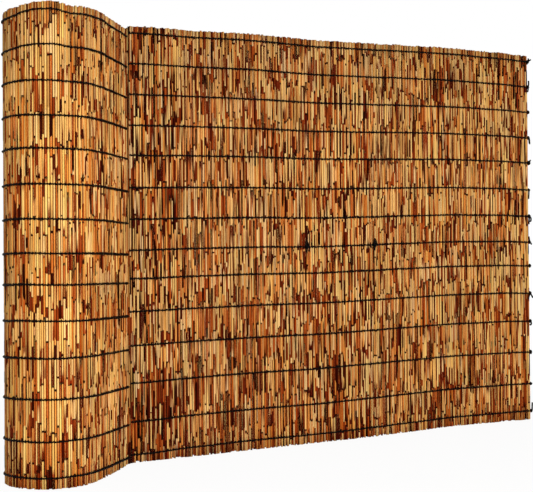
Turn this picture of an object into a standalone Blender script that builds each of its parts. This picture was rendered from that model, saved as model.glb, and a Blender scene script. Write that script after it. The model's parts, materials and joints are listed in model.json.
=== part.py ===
"""Reed screening roll: one long mat of upright reeds bound by rows of wire.

The mat stands on its reed ends. It runs from its free end along a flat panel,
folds towards the front, leads over to the roll and winds inwards.
Metres, Z up along the reeds, X along the panel, the front towards -Y.
"""

import math
from typing import NamedTuple

import bmesh
import bpy
from mathutils import Vector

# The mat
HEIGHT = 1.5  # length of a reed
REED_PITCH = 0.008  # from one reed to the next
REED_DEPTH = 0.0075  # through the mat at the crown of a reed
GROOVE_DEPTH = 0.002  # from a crown down to the line between two reeds
FIT_GAP = 0.0003  # clearance between parts that touch

# The way the mat lies
PANEL_LENGTH = 1.824  # flat part, from the free end
FOLD_RADIUS = 0.022
FOLD_ANGLE = math.radians(47)
RUN_LENGTH = 0.166  # straight, after the fold
SLOW_RADIUS = 1.446  # first easing towards the roll
SLOW_ANGLE = math.radians(7.6)
EASE_RADIUS = 0.193  # second easing towards the roll
EASE_ANGLE = math.radians(7.8)
ROLL_RADIUS = 0.144  # middle of the mat at the start of the outer turn
TURN_SPACING = 0.013  # from one turn to the next
ROLLED_LENGTH = 2.784  # mat wound in the roll, from the outer turn inwards

# The wires
WIRE_RADIUS = 0.0012
WIRE_SAG = 0.0014  # a wire's chord over a curve stays this near it
# Height of each row of wire as a share of the reeds' length, from the bottom up
WIRE_ROWS = (
    0.0227,
    0.0973,
    0.1841,
    0.2689,
    0.3457,
    0.4208,
    0.4857,
    0.5568,
    0.6290,
    0.7032,
    0.7719,
    0.8427,
    0.9137,
    0.9839,
)
WIRE_TURN = math.radians(320)  # a wire shows on this much of the outer turn
WIRE_STOP = 0.14  # on the back, a wire ends this far before the roll

REED_COLOUR = (0.50, 0.31, 0.13, 1.0)
WIRE_COLOUR = (0.012, 0.011, 0.010, 1.0)

STEP = REED_PITCH / 2
FOLD_START = PANEL_LENGTH
RUN_START = FOLD_START + FOLD_RADIUS * FOLD_ANGLE
SLOW_START = RUN_START + RUN_LENGTH
EASE_START = SLOW_START + SLOW_RADIUS * SLOW_ANGLE
ROLL_START = EASE_START + EASE_RADIUS * EASE_ANGLE
MAT_LENGTH = ROLL_START + ROLLED_LENGTH
FULL_TURN = 2 * math.pi
# Start, length and angle of each bend before the roll, left positive
BENDS = (
    (FOLD_START, RUN_START - FOLD_START, FOLD_ANGLE),
    (SLOW_START, EASE_START - SLOW_START, -SLOW_ANGLE),
    (EASE_START, ROLL_START - EASE_START, -EASE_ANGLE),
)
CURVE_JUMP = 0.5  # a change of curvature that ends one stretch of the mat


class Station(NamedTuple):
    """Place on the middle of the mat, seen from above."""

    place: Vector
    heading: float
    curve: float  # left positive
    turned: float  # angle wound on the roll so far


def wound(rolled):
    """Angle that a length of mat winds on the roll."""
    if rolled <= 0:
        return 0.0
    inwards = TURN_SPACING / FULL_TURN
    return (ROLL_RADIUS - math.sqrt(ROLL_RADIUS**2 - 2 * inwards * rolled)) / inwards


def heading_at(distance):
    """Heading of the mat at a distance from its free end."""
    heading = math.pi - wound(distance - ROLL_START)
    for start, length, angle in BENDS:
        share = (distance - start) / length
        heading += angle * min(max(share, 0.0), 1.0)
    return heading


def walk_mat():
    """Stations every half reed, from the free end inwards."""
    place = Vector((PANEL_LENGTH, 0.0))
    stations = [Station(place, heading_at(0.0), 0.0, 0.0)]
    for index in range(round(MAT_LENGTH / STEP)):
        middle, end = (index + 0.5) * STEP, (index + 1) * STEP
        along = heading_at(middle)
        place = place + STEP * Vector((math.cos(along), math.sin(along)))
        curve = (heading_at(end) - heading_at(end - STEP)) / STEP
        stations.append(Station(place, heading_at(end), curve, wound(end - ROLL_START)))
    return stations


def beside(station, offset, forward=0.0):
    """Point at an offset from the middle of the mat, front positive."""
    ahead = Vector((math.cos(station.heading), math.sin(station.heading)))
    front = Vector((-ahead.y, ahead.x))
    return station.place + front * offset + ahead * forward


def mat_outline(stations, first, last):
    """Outline of the reeds from one groove station to another, seen from above."""
    crown = REED_DEPTH / 2
    sides = {1: [], -1: []}
    for index in range(first, last + 1):
        depth = crown if index % 2 else crown - GROOVE_DEPTH
        trim = 0.0
        if index == first and first > 0:
            trim = FIT_GAP / 2
        if index == last and last < len(stations) - 1:
            trim = -FIT_GAP / 2
        for side, points in sides.items():
            points.append(beside(stations[index], side * depth, trim))
    return sides[1] + sides[-1][::-1]


def near_reed(distance):
    """Number of the station between two reeds nearest to a distance."""
    return 2 * round(distance / REED_PITCH)


def mat_splits(stations):
    """Station where each solid of the mat ends, with its name."""
    splits = [("reed_panel", near_reed(FOLD_START)), ("reed_lead", near_reed(ROLL_START))]
    turn = 1
    for index, station in enumerate(stations):
        if index % 2 == 0 and station.turned >= turn * FULL_TURN:
            splits.append((f"reed_turn_{turn}", index))
            turn += 1
    splits.append((f"reed_turn_{turn}", len(stations) - 1))
    return splits


def wire_side(stations, first, last, side):
    """Points of a wire along one face of the mat, as few as its sag allows."""
    clear = REED_DEPTH / 2 + FIT_GAP + WIRE_RADIUS
    curves = [station.curve for station in stations]
    picked = [first]
    for index in range(first + 1, last):
        ahead = curves[index + 1]
        span = (index + 1 - picked[-1]) * STEP
        if abs(ahead - curves[index]) > CURVE_JUMP or span * span * abs(ahead) / 8 > WIRE_SAG:
            picked.append(index)
    picked.append(last)
    points = []
    for number, index in enumerate(picked):
        before = picked[max(number - 1, 0)]
        after = picked[min(number + 1, len(picked) - 1)]
        convex = any(side * curve < 0 for curve in curves[before + 1 : after + 1])
        lift = WIRE_SAG if convex else 0.0
        points.append(beside(stations[index], side * (clear + lift)))
    return points


def wire_path(stations):
    """Way of a wire: the roll and the panel's front, the free end, the back."""
    shown = next(i for i, station in enumerate(stations) if station.turned >= WIRE_TURN)
    hidden = round((ROLL_START - WIRE_STOP) / STEP)
    clear = FIT_GAP + WIRE_RADIUS
    stand = REED_DEPTH / 2 + clear
    front = wire_side(stations, 1, shown, 1)[::-1]
    back = wire_side(stations, 1, hidden, -1)
    end = stations[0]
    reach = REED_PITCH * 0.3
    turns = [(stand, reach), (stand / 2, -1.2 * clear), (-stand / 2, -1.2 * clear), (-stand, reach)]
    return front + [beside(end, offset, forward) for offset, forward in turns] + back


def surface(name, colour, roughness, metallic):
    """Plain material of one solid."""
    material = bpy.data.materials.new(name)
    material.use_nodes = True
    shader = material.node_tree.nodes["Principled BSDF"]
    shader.inputs["Base Color"].default_value = colour
    shader.inputs["Roughness"].default_value = roughness
    shader.inputs["Metallic"].default_value = metallic
    material.diffuse_color = colour
    return material


def stand_reeds(name, outline, shift):
    """Solid of reeds side by side, raised from its outline."""
    mesh = bpy.data.meshes.new(name)
    work = bmesh.new()
    corners = [work.verts.new((p.x + shift.x, p.y + shift.y, 0.0)) for p in outline]
    floor = work.faces.new(corners)
    raised = bmesh.ops.extrude_face_region(work, geom=[floor])
    top = [item for item in raised["geom"] if isinstance(item, bmesh.types.BMVert)]
    bmesh.ops.translate(work, vec=(0.0, 0.0, HEIGHT), verts=top)
    bmesh.ops.recalc_face_normals(work, faces=work.faces)
    work.to_mesh(mesh)
    work.free()
    mesh.materials.append(surface(name, REED_COLOUR, 0.7, 0.0))
    piece = bpy.data.objects.new(name, mesh)
    bpy.context.scene.collection.objects.link(piece)
    return piece


def lay_wire(name, path, height, shift):
    """Wire of one row, along its path at its height."""
    curve = bpy.data.curves.new(name, "CURVE")
    curve.dimensions = "3D"
    curve.twist_mode = "Z_UP"
    curve.bevel_depth = WIRE_RADIUS
    curve.bevel_resolution = 0
    curve.use_fill_caps = True
    spline = curve.splines.new("POLY")
    spline.points.add(len(path) - 1)
    for target, point in zip(spline.points, path):
        target.co = (point.x + shift.x, point.y + shift.y, height, 1.0)
    curve.materials.append(surface(name, WIRE_COLOUR, 0.5, 0.6))
    piece = bpy.data.objects.new(name, curve)
    bpy.context.scene.collection.objects.link(piece)
    return piece


def centre_shift(points):
    """Move that brings the middle of the points over the origin."""
    middle_x = (min(p.x for p in points) + max(p.x for p in points)) / 2
    middle_y = (min(p.y for p in points) + max(p.y for p in points)) / 2
    return Vector((-middle_x, -middle_y))


def main():
    for thing in list(bpy.data.objects):
        bpy.data.objects.remove(thing)
    stations = walk_mat()
    path = wire_path(stations)
    shift = centre_shift(path)
    first = 0
    for name, last in mat_splits(stations):
        stand_reeds(name, mat_outline(stations, first, last), shift)
        first = last
    for number, share in enumerate(WIRE_ROWS, 1):
        lay_wire(f"binding_wire_{number:02d}", path, share * HEIGHT, shift)


main()
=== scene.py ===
"""Looks of a reed screening roll: one long mat of dried reeds bound by rows of black wire.

The mat stands on its reed ends. It runs from its free end along a flat panel, folds
towards the front, leads over to the roll and winds inwards. Distances along the mat
are counted from its free end. Metres, Z up along the reeds, the front towards -Y.
"""

import json
import logging
import math
import random
from collections.abc import Callable, Sequence
from dataclasses import dataclass
from enum import Enum
from functools import partial

import bpy
import numpy as np
from bpy.types import ID, Material, Node, NodeSocket, NodeTree, Object, bpy_prop_collection
from mathutils import Euler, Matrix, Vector

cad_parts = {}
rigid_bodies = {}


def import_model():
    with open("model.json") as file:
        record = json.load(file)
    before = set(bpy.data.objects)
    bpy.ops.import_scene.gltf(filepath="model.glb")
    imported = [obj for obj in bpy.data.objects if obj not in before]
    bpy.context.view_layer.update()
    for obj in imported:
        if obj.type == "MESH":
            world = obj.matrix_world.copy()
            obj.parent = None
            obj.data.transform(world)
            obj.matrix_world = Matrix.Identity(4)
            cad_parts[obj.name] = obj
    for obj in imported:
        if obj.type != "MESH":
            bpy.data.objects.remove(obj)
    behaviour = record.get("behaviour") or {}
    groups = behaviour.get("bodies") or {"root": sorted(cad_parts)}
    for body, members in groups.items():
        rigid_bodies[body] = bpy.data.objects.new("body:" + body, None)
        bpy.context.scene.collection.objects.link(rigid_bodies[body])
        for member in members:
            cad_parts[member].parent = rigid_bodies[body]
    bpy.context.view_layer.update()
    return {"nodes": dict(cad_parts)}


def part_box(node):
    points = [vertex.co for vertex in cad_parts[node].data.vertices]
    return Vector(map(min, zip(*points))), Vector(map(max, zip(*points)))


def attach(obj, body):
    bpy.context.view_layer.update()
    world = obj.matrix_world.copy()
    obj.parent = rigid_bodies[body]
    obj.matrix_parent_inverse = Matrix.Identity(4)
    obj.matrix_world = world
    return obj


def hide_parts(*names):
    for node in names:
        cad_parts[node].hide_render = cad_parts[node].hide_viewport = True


log = logging.getLogger("reed_screening")

FULL_TURN = 2 * math.pi
BAKE_MAP = "OFBake"
NAMED = "GeometryNodeInputNamedAttribute"
STORE = "GeometryNodeStoreNamedAttribute"
SOCKETS = {int: "Int", float: "Float", Material: "Material"}
WHITE = (1.0, 1.0, 1.0, 1.0)

Pair = tuple[float, float]
Point = tuple[float, float, float]
Adder = Callable[..., Node]


def linear(code: str) -> tuple[float, float, float, float]:
    """Turns an sRGB hex colour into linear light.

    Args:
        code: Colour as #RRGGBB.

    Returns:
        Red, green, blue and full alpha.
    """
    parts = (int(code[start : start + 2], 16) / 255 for start in (1, 3, 5))
    red, green, blue = (p / 12.92 if p <= 0.04045 else ((p + 0.055) / 1.055) ** 2.4 for p in parts)
    return (red, green, blue, 1.0)


def shown(sockets: Sequence, key: str | int) -> NodeSocket:
    """Finds a socket that the node's settings leave in use.

    Args:
        sockets: A node's inputs or outputs.
        key: The socket's name, or its number among all of them.

    Returns:
        The socket.
    """
    if isinstance(key, int):
        return sockets[key]
    return next(socket for socket in sockets if socket.name == key and socket.enabled)


def feed(tree: NodeTree, node: Node, sources: dict) -> None:
    """Gives a node its inputs.

    Args:
        tree: The node tree that it is in.
        node: The node.
        sources: Constants, sockets or nodes, by the input's name or number. A node gives
            its first output in use.
    """
    for key, source in sources.items():
        target = shown(node.inputs, key)
        if isinstance(source, Node):
            source = next(socket for socket in source.outputs if socket.enabled)
        if isinstance(source, NodeSocket):
            tree.links.new(source, target)
        else:
            target.default_value = source


def add_node(
    tree: NodeTree,
    kind: str,
    *inputs: object,
    stops: Sequence[tuple[float, str]] = (),
    **settings: str,
) -> Node:
    """Adds a node with its settings and links.

    Args:
        tree: The node tree that gets it.
        kind: The node's type, without ShaderNode if it begins so, and after a dot its
            operation.
        *inputs: Constants, sockets or nodes in the order of the node's inputs, and
            dictionaries of them by name or number.
        stops: Positions from 0 to 1 with the sRGB hex colours of a colour ramp.
        **settings: Values of the node's own properties.

    Returns:
        The new node.
    """
    kind, _, operation = kind.partition(".")
    node = tree.nodes.new(kind if "Node" in kind else f"ShaderNode{kind}")
    if operation:
        node.operation = operation
    for name, value in settings.items():
        setattr(node, name, value)
    for number, (position, code) in enumerate(stops):
        elements = node.color_ramp.elements
        element = elements[number] if number < len(elements) else elements.new(position)
        element.position, element.color = position, linear(code)
    sources = {}
    for number, source in enumerate(inputs):
        sources.update(source if isinstance(source, dict) else {number: source})
    feed(tree, node, sources)
    return node


def new_material(name: str) -> tuple[Material, Adder]:
    """Starts a material.

    Args:
        name: Its name.

    Returns:
        The material and the function that adds its nodes.
    """
    look = bpy.data.materials.new(name)
    look.use_nodes = True
    return look, partial(add_node, look.node_tree)


def titled(holder: object, fields: str) -> dict:
    """Values of an object's fields, named as a node tree's inputs are."""
    return {name.replace("_", " ").title(): getattr(holder, name) for name in fields.split()}


def put(name: str, data: ID) -> Object:
    """Makes an object.

    Args:
        name: Its name.
        data: What it holds, such as a mesh or a lamp.

    Returns:
        The object, linked to the scene.
    """
    thing = bpy.data.objects.new(name, data)
    bpy.context.scene.collection.objects.link(thing)
    return thing


def declare(piece: Object, nodes: Sequence[str]) -> Object:
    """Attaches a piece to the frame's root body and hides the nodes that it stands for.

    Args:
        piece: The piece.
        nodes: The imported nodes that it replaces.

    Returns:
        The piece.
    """
    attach(piece, "root")
    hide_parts(*nodes)
    return piece


def wire_heights(rows: Sequence[str]) -> list[float]:
    """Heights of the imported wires, from their nodes' names."""
    return [(low.z + high.z) / 2 for low, high in map(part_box, rows)]


@dataclass(frozen=True)
class MatPath:
    """The way that the middle of the mat lies on the ground."""

    panel_length: float = 1.824
    fold_radius: float = 0.022
    fold_angle: float = math.radians(47)
    run_length: float = 0.166
    slow_radius: float = 1.446
    slow_angle: float = math.radians(7.6)
    ease_radius: float = 0.193
    ease_angle: float = math.radians(7.8)
    roll_radius: float = 0.144
    turn_spacing: float = 0.013
    rolled_length: float = 2.784
    lead: float = 0.02
    step: float = 0.001
    # Distance, and how far the mat is lifted there at its foot, its middle and its top
    ripple: tuple[tuple[float, float, float, float], ...] = (
        (0.00, 0.003, 0.001, -0.003),
        (0.16, 0.006, 0.006, 0.002),
        (0.42, 0.009, 0.008, 0.006),
        (0.66, 0.005, 0.005, 0.003),
        (0.80, 0.002, 0.002, 0.000),
        (1.05, -0.001, -0.001, -0.003),
        (1.35, 0.001, 0.002, 0.002),
        (1.60, -0.001, 0.001, -0.002),
        (1.76, -0.006, -0.001, -0.001),
        (1.828, -0.006, -0.001, -0.002),
        (1.840, -0.006, -0.002, -0.014),
        (1.851, -0.011, -0.015, -0.017),
        (1.95, -0.007, -0.012, -0.011),
        (2.05, -0.004, -0.008, -0.006),
        (2.12, -0.002, -0.005, 0.003),
        (2.24, 0.001, -0.002, 0.003),
        (2.29, 0.002, -0.001, 0.001),
        (2.355, 0.000, 0.000, 0.0125),
        (2.40, 0.000, 0.001, 0.011),
        (2.44, 0.001, 0.002, 0.005),
        (2.48, 0.001, 0.001, -0.005),
        (2.515, 0.000, -0.001, -0.010),
        (2.58, -0.003, -0.004, -0.013),
        (2.90, 0.000, 0.000, 0.000),
    )
    foot_band: Pair = (0.08, 0.50)  # heights, from the foot's lift to the middle's
    top_band: Pair = (1.24, 1.44)  # from the middle's lift to the top's

    @property
    def run_start(self) -> float:
        """Distance where the fold ends."""
        return self.panel_length + self.fold_radius * self.fold_angle

    @property
    def slow_start(self) -> float:
        """Distance where the mat begins to ease towards the roll."""
        return self.run_start + self.run_length

    @property
    def ease_start(self) -> float:
        """Distance where the easing tightens."""
        return self.slow_start + self.slow_radius * self.slow_angle

    @property
    def roll_start(self) -> float:
        """Distance where the outer turn begins."""
        return self.ease_start + self.ease_radius * self.ease_angle

    @property
    def length(self) -> float:
        """Length of the whole mat."""
        return self.roll_start + self.rolled_length

    def turn_end(self, turns: float) -> float:
        """Distance at which a number of turns is wound on the roll.

        Args:
            turns: The number of turns, from the outer one.

        Returns:
            The distance along the mat.
        """
        angle = turns * FULL_TURN
        inwards = self.turn_spacing / FULL_TURN
        return self.roll_start + self.roll_radius * angle - inwards * angle**2 / 2

    def headings(self, distances: np.ndarray) -> np.ndarray:
        """Headings of the mat, seen from above.

        Args:
            distances: Distances along the mat.

        Returns:
            Angles from +X in radians.
        """
        inwards = self.turn_spacing / FULL_TURN
        rolled = np.clip(distances - self.roll_start, 0.0, None)
        wound = (self.roll_radius - np.sqrt(self.roll_radius**2 - 2 * inwards * rolled)) / inwards
        bends = (
            (self.panel_length, self.run_start, self.fold_angle),
            (self.slow_start, self.ease_start, -self.slow_angle),
            (self.ease_start, self.roll_start, -self.ease_angle),
        )
        result = math.pi - wound
        for start, end, angle in bends:
            result = result + angle * np.clip((distances - start) / (end - start), 0.0, 1.0)
        return result

    def walk(self) -> tuple[np.ndarray, np.ndarray]:
        """Walks the mat, with a short straight lead beyond each end.

        Returns:
            The distances and the places in the frame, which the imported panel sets.
        """
        distances = np.arange(-self.lead, self.length + self.lead, self.step)
        angles = self.headings(distances + self.step / 2)
        moves = np.stack([np.cos(angles), np.sin(angles)], axis=1)[:-1] * self.step
        places = np.vstack([np.zeros(2), np.cumsum(moves, axis=0)])
        low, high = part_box("reed_panel")
        free_end = np.array([high.x, (low.y + high.y) / 2])
        start = np.array([np.interp(0.0, distances, places[:, axis]) for axis in (0, 1)])
        return distances, places + free_end - start

    def stand_at(self, distance: float) -> tuple[np.ndarray, np.ndarray, np.ndarray]:
        """Place and directions at a distance, seen from above.

        Args:
            distance: Distance along the mat.

        Returns:
            The middle of the mat, the way onwards along it and the way to its front.
        """
        distances, places = self.walk()
        place = np.array([np.interp(distance, distances, places[:, axis]) for axis in (0, 1)])
        heading = float(self.headings(np.array([distance]))[0])
        ahead = np.array([math.cos(heading), math.sin(heading)])
        return place, ahead, np.array([-ahead[1], ahead[0]])

    def lifts(self, distances: np.ndarray) -> np.ndarray:
        """Lift of the mat's foot, middle and top at each distance."""
        knots, *levels = np.array(self.ripple).T
        return np.stack([smooth_through(distances, knots, level) for level in levels], axis=1)

    def lift_at(self, distance: float, height: float) -> float:
        """Lift of the mat at one place.

        Args:
            distance: Distance along the mat.
            height: Height from the floor.

        Returns:
            The lift.
        """
        foot, middle, top = self.lifts(np.array([distance]))[0]
        low = np.interp(height, self.foot_band, (1.0, 0.0))
        high = np.interp(height, self.top_band, (0.0, 1.0))
        return float(middle + (foot - middle) * low + (top - middle) * high)

    def helper(self) -> Object:
        """Line along the mat that the node trees follow.

        Returns:
            A mesh of edges whose points hold the mat's lifts.
        """
        distances, places = self.walk()
        line = line_mesh("mat_path", [[(x, y, 0.0) for x, y in places]])
        hold(line, lifts=self.lifts(distances))
        return line


def smooth_through(at: np.ndarray, knots: np.ndarray, values: np.ndarray) -> np.ndarray:
    """Eases from one value to the next without overshooting.

    Args:
        at: Where the result is wanted.
        knots: Rising positions of the values.
        values: The values there.

    Returns:
        One value for each wanted position.
    """
    index = np.clip(np.searchsorted(knots, at) - 1, 0, len(knots) - 2)
    share = np.clip((at - knots[index]) / (knots[index + 1] - knots[index]), 0.0, 1.0)
    ease = share * share * (3 - 2 * share)
    return values[index] + (values[index + 1] - values[index]) * ease


def line_mesh(name: str, lines: Sequence[Sequence[Point]]) -> Object:
    """Makes an object of lines. A line of one point is a loose point.

    Args:
        name: The object's name.
        lines: The points of each line in order.

    Returns:
        The object, linked to the scene.
    """
    mesh = bpy.data.meshes.new(name)
    points, edges = [], []
    for line in lines:
        edges += [(i, i + 1) for i in range(len(points), len(points) + len(line) - 1)]
        points += line
    mesh.from_pydata(points, edges, [])
    return put(name, mesh)


def hold(thing: Object, domain: str = "POINT", **marks: Sequence[float]) -> None:
    """Stores numbers or vectors for each point or face corner of a mesh.

    Args:
        thing: The object with the mesh.
        domain: POINT or CORNER.
        **marks: The values of each attribute.
    """
    for name, values in marks.items():
        values = np.asarray(values, np.float32)
        kind, field = ("FLOAT_VECTOR", "vector") if values.ndim == 2 else ("FLOAT", "value")
        attribute = thing.data.attributes.new(name, kind, domain)
        attribute.data.foreach_set(field, values.ravel())


def grow(start: Object, tree: NodeTree, values: dict, scratch: str) -> Object:
    """Runs a node tree on an object and keeps the result as a plain mesh.

    Args:
        start: The object that the tree begins with. It is removed.
        tree: The geometry node tree.
        values: The tree's inputs, by name.
        scratch: Names of the attributes that the finished mesh doesn't need.

    Returns:
        A new object at the origin with the start's name.
    """
    name = start.name
    modifier = start.modifiers.new("grow", "NODES")
    modifier.node_group = tree
    for item in tree.interface.items_tree:
        if item.in_out == "INPUT" and item.name in values:
            modifier[item.identifier] = values[item.name]
    graph = bpy.context.evaluated_depsgraph_get()
    mesh = bpy.data.meshes.new_from_object(start.evaluated_get(graph))
    bpy.data.objects.remove(start)
    for attribute in scratch.split():
        mesh.attributes.remove(mesh.attributes[attribute])
    mesh.name = name
    return put(name, mesh)


def new_tree(name: str, values: dict) -> tuple[NodeTree, bpy_prop_collection, Adder]:
    """Starts a geometry node tree with named inputs.

    Args:
        name: The tree's name.
        values: Its inputs after the geometry, by name. A value that isn't a number or a
            material stands for an object.

    Returns:
        The tree, the sockets with its inputs and the function that adds its nodes.
    """
    tree = bpy.data.node_groups.new(name, "GeometryNodeTree")
    for way in ("INPUT", "OUTPUT"):
        tree.interface.new_socket("Geometry", in_out=way, socket_type="NodeSocketGeometry")
    for label, value in values.items():
        kind = SOCKETS.get(type(value), "Object")
        tree.interface.new_socket(label, in_out="INPUT", socket_type=f"NodeSocket{kind}")
    return tree, tree.nodes.new("NodeGroupInput").outputs, partial(add_node, tree)


def along_path(add: Adder, size: bpy_prop_collection) -> tuple[Node, Node, Node]:
    """Follows the mat's path at each point's own distance.

    Args:
        add: The function that adds nodes to the tree.
        size: The tree's inputs, with Path and Lead.

    Returns:
        The node that samples the path, one that gives the way to the front, and one
        that gives the mat's lifts at its foot, middle and top.
    """
    info = add("GeometryNodeObjectInfo", size["Path"])
    curve = add("GeometryNodeMeshToCurve", info.outputs["Geometry"])
    reach = add("Math.ADD", add(NAMED, "distance"), size["Lead"])
    lifts = add(NAMED, "lifts", data_type="FLOAT_VECTOR")
    sample = {"Value": lifts, "Length": reach}
    spot = add(
        "GeometryNodeSampleCurve", curve, sample, mode="LENGTH", data_type="FLOAT_VECTOR"
    )
    front = add("VectorMath.CROSS_PRODUCT", (0.0, 0.0, 1.0), shown(spot.outputs, "Tangent"))
    return spot, front, add("SeparateXYZ", shown(spot.outputs, "Value"))


def draw_wire(add: Adder, size: bpy_prop_collection, lines: Node, strands: Node) -> None:
    """Ends a tree with a mapped tube of wire round each line.

    Args:
        add: The function that adds nodes to the tree.
        size: The tree's inputs, with Sides, Radius and Material.
        lines: The node that gives the curves, whose points hold their strand's number.
        strands: The node that gives the number of strands.
    """
    run = add("GeometryNodeSplineParameter").outputs["Factor"]
    form = {"Resolution": size["Sides"], "Radius": size["Radius"]}
    ring = add("GeometryNodeCurvePrimitiveCircle", form)
    line, profile = (
        add(STORE, curve, {"Name": name, "Value": run})
        for curve, name in ((lines, "run"), (ring, "around"))
    )
    form = {"Profile Curve": profile, "Fill Caps": True}
    tube = add("GeometryNodeCurveToMesh", line, form)
    strand, around, length = (add(NAMED, name) for name in ("strand", "around", "run"))
    column = add("Math.DIVIDE", add("Math.ADD", strand, around), strands)
    spread = {"Name": BAKE_MAP, "Value": add("CombineXYZ", column, length)}
    mapped = add(STORE, tube, spread, data_type="FLOAT2", domain="CORNER")
    real = add("GeometryNodeRealizeInstances", mapped)
    smooth = add("GeometryNodeSetShadeSmooth", real, {"Shade Smooth": True})
    dressed = add("GeometryNodeSetMaterial", smooth, {"Material": size["Material"]})
    add("NodeGroupOutput", dressed)


@dataclass(frozen=True)
class DriedReed:
    """Common reed, cut, sun-dried and left with scraps of its leaf sheaths.

    The bare stems are straw to honey. Most joints have a dark ring, and beside it the
    stem is stained red-brown, often on one side only. The sheaths are darker and torn.
    A stretch is the part of a stem between two joints.
    """

    stems: tuple[tuple[float, str], ...] = (
        (0.00, "#B27C42"),
        (0.14, "#DCA25E"),
        (0.36, "#F0C57F"),
        (0.54, "#EEB062"),
        (0.72, "#DA8236"),
        (0.86, "#B44E17"),
        (0.94, "#8C2D0B"),
        (1.00, "#581204"),
    )
    stains: tuple[tuple[float, str], ...] = (
        (0.00, "#B84E1A"),
        (0.30, "#90300D"),
        (0.60, "#5C1406"),
        (0.85, "#2C0602"),
        (1.00, "#120201"),
    )
    sheaths: tuple[tuple[float, str], ...] = (
        (0.00, "#AC4E1A"),
        (0.30, "#7C2A0C"),
        (0.60, "#4A1105"),
        (1.00, "#1C0501"),
    )
    ring_colour: str = "#240702"
    cut_colour: str = "#D8BC86"
    golden_tint: Point = (1.02, 1.06, 0.76)  # stretches turn from this
    dull_tint: Point = (0.97, 0.99, 1.08)  # to this
    reed_tone: float = 0.2  # a stem's share of the tone, the rest is its stretches' own
    aged_tone: float = 0.06  # how far the aged reeds turn from straw to brown
    aged_tint: Point = (0.92, 0.905, 1.06)  # straw that has lost its gold
    butt_height: float = 0.45  # below this the reeds turn browner
    butt_tone: float = 0.12
    tip_heights: Pair = (1.0, 1.5)  # from here on they get darker towards the top
    tip_light: float = 0.80
    stain_rarity: float = 1.3  # above 1, long stains are rare
    stain_slant: float = 0.15
    stain_fade: float = 0.5
    half_stain: Pair = (-0.25, 0.15)  # edge of a stain on one side only
    unstained: float = 0.36  # share of the stretches without a stain
    faint: float = 0.12  # share with a faint one
    stain_depth: float = 0.75
    root_depth: float = 0.22  # how much deeper a stain is where it starts
    aged_stain: float = 0.30  # how much more of the aged reeds is stained
    aged_depth: float = 0.21  # how much darker their stains are
    groove_shade_and_dirt_tint: Point = (0.15, 0.04, 0.025)  # painted shade between the stems, with some dirt: what of the stem's colour is left there
    groove: Pair = (0.22, 0.80)  # how far sideways a stem faces where the painted shade and dirt between the stems lie
    aged_groove: float = 0.20  # how much further between the stems the painted shade and dirt lie on aged reeds
    least_groove_shade: float = 0.45  # share of the painted shade and dirt between the stems of the least shaded reeds
    ringed: float = 0.62  # share of the joints with a dark ring
    ring_reach: Pair = (0.016, 0.04)  # shares of a stretch
    ring_core: float = 0.6
    ridge_reach: float = 0.03
    ridge_height: float = 3.0
    relief: float = 0.0003
    bump: float = 0.35
    fibre_width: float = 0.0009  # drawn coarser than the real 0.2 mm, to show in the render
    fibre_length: float = 0.05
    weather_scale: float = 7.0
    wear: tuple[float, ...] = (0.7, 1.3, 0.74, 1.14)  # range of the noise, and its light
    roughness: float = 0.5
    specular: float = 0.01

    def material(self) -> Material:
        """Builds the material from the number and course that each reed carries.

        Returns:
            The material of the stems and their sheaths.
        """
        look, add = new_material("sun_dried_common_reed")
        number, course, sheath, rim, flank, bleach, age = (
            add("Attribute", attribute_name=name).outputs["Fac"]
            for name in ("number", "course", "sheath", "rim", "flank", "bleach", "age")
        )
        stretch = add("Math.FLOOR", course)
        joint = add("Math.ROUND", course)
        share = add("Math.FRACT", course)
        by_reed = add("TexWhiteNoise", {"W": number}, noise_dimensions="1D")
        by_stretch, by_streak, by_joint = (
            add("TexWhiteNoise", add("CombineXYZ", number, place, salt))
            for place, salt in ((stretch, 3.0), (stretch, 11.0), (joint, 7.0))
        )
        reed_rgb, part_rgb, streak_rgb = (
            add("SeparateColor", noise.outputs["Color"]).outputs
            for noise in (by_reed, by_stretch, by_streak)
        )
        part_value, joint_value = by_stretch.outputs["Value"], by_joint.outputs["Value"]
        place = add("TexCoord").outputs["Object"]
        level = add("SeparateXYZ", place).outputs[2]
        sideways = add("Math.ABSOLUTE", flank)

        tone = add("Math.MULTIPLY", by_reed.outputs["Value"], self.reed_tone)
        tone = add("Math.MULTIPLY_ADD", part_value, 1 - self.reed_tone, tone)
        tone = add("Math.MULTIPLY_ADD", age, self.aged_tone, tone)
        butt = add("MapRange", level, self.butt_height, 0.0, 0.0, self.butt_tone)
        stem = add("ValToRGB", add("Math.ADD", tone, butt), stops=self.stems)
        hue = {4: self.golden_tint, 5: self.dull_tint}
        hue = add("Mix", streak_rgb[0], hue, data_type="VECTOR")
        stem = add("VectorMath.MULTIPLY", stem, hue)
        faded = add("VectorMath.MULTIPLY", stem, self.aged_tint)
        stem = add("Mix", age, {6: stem, 7: faded}, data_type="RGBA")

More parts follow.
